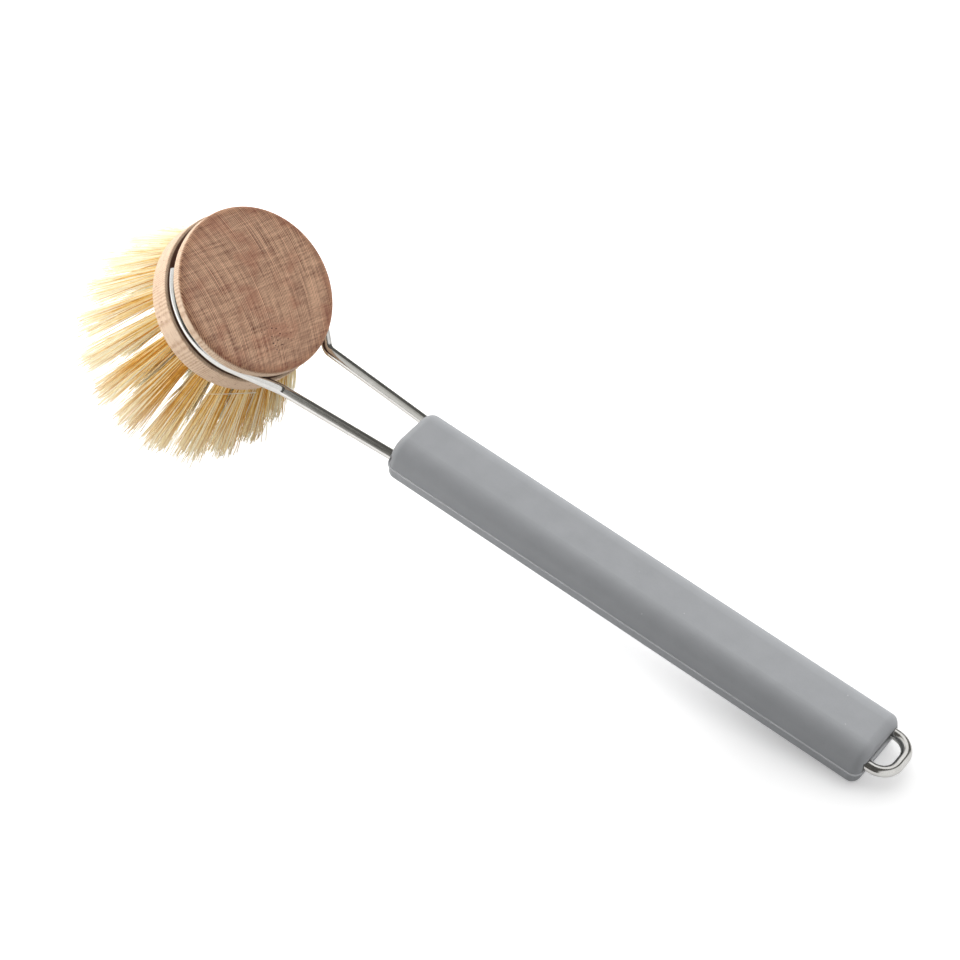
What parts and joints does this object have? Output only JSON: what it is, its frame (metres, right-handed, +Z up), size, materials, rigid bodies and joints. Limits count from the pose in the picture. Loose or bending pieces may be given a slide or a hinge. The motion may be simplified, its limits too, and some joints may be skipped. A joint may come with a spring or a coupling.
{
  "type": "dish brush",
  "caption": "Dish brush with a round wooden head of plant-fibre tufts, gripped by a sprung wire fork that runs through a soft rectangular grip and ends in a hanging loop.",
  "frame": {"origin": "on the table, under the middle of the brush's box, as it lies on its tufts and its grip's rear edge", "axes": "+X along the brush from its head towards its hanging loop, +Z up, XZ the plane of symmetry"},
  "size_m": [0.2752, 0.0714, 0.0733],
  "materials": {
    "beech_wood": "sanded, unvarnished",
    "silicone": "matt moulded grey",
    "steel_wire": "polished",
    "plant_fibre": "natural, undyed"
  },
  "bodies": {
    "handle": {"grip_sleeve": "silicone", "wire_hanging_loop": "steel_wire"},
    "left_arm": {"wire_clamp_left": "steel_wire"},
    "right_arm": {"wire_clamp_right": "steel_wire"},
    "head": {"head_block": "beech_wood", "tuft_outer_01": "plant_fibre", "tuft_outer_02": "plant_fibre", "tuft_outer_03": "plant_fibre", "tuft_outer_04": "plant_fibre", "tuft_outer_05": "plant_fibre", "tuft_outer_06": "plant_fibre", "tuft_outer_07": "plant_fibre", "tuft_outer_08": "plant_fibre", "tuft_outer_09": "plant_fibre", "tuft_outer_10": "plant_fibre", "tuft_outer_11": "plant_fibre", "tuft_outer_12": "plant_fibre", "tuft_outer_13": "plant_fibre", "tuft_outer_14": "plant_fibre", "tuft_outer_15": "plant_fibre", "tuft_outer_16": "plant_fibre", "tuft_outer_17": "plant_fibre", "tuft_outer_18": "plant_fibre", "tuft_outer_19": "plant_fibre", "tuft_outer_20": "plant_fibre", "tuft_middle_01": "plant_fibre", "tuft_middle_02": "plant_fibre", "tuft_middle_03": "plant_fibre", "tuft_middle_04": "plant_fibre", "tuft_middle_05": "plant_fibre", "tuft_middle_06": "plant_fibre", "tuft_middle_07": "plant_fibre", "tuft_middle_08": "plant_fibre", "tuft_middle_09": "plant_fibre", "tuft_middle_10": "plant_fibre", "tuft_inner_01": "plant_fibre", "tuft_inner_02": "plant_fibre", "tuft_inner_03": "plant_fibre", "tuft_inner_04": "plant_fibre", "tuft_inner_05": "plant_fibre", "tuft_centre": "plant_fibre", "tuft_anchors": "steel_wire"}
  },
  "joints": [
    {"name": "head_swivel", "type": "hinge", "parent": "handle", "child": "head", "pos_m": [-0.08704, 0, 0.05257], "axis": [0.6712, 0, 0.7412], "continuous": true},
    {"name": "left_arm_flex", "type": "hinge", "parent": "handle", "child": "left_arm", "pos_m": [-0.02694, 0.0081, 0.0287], "axis": [-0.6712, 0, -0.7412], "range_deg": [0, 7], "stiffness_Nm_per_rad": 20, "springref_deg": -1},
    {"name": "right_arm_flex", "type": "hinge", "parent": "handle", "child": "right_arm", "pos_m": [-0.02694, -0.0081, 0.0287], "axis": [0.6712, 0, 0.7412], "range_deg": [0, 7], "stiffness_Nm_per_rad": 20, "springref_deg": -1}
  ]
}
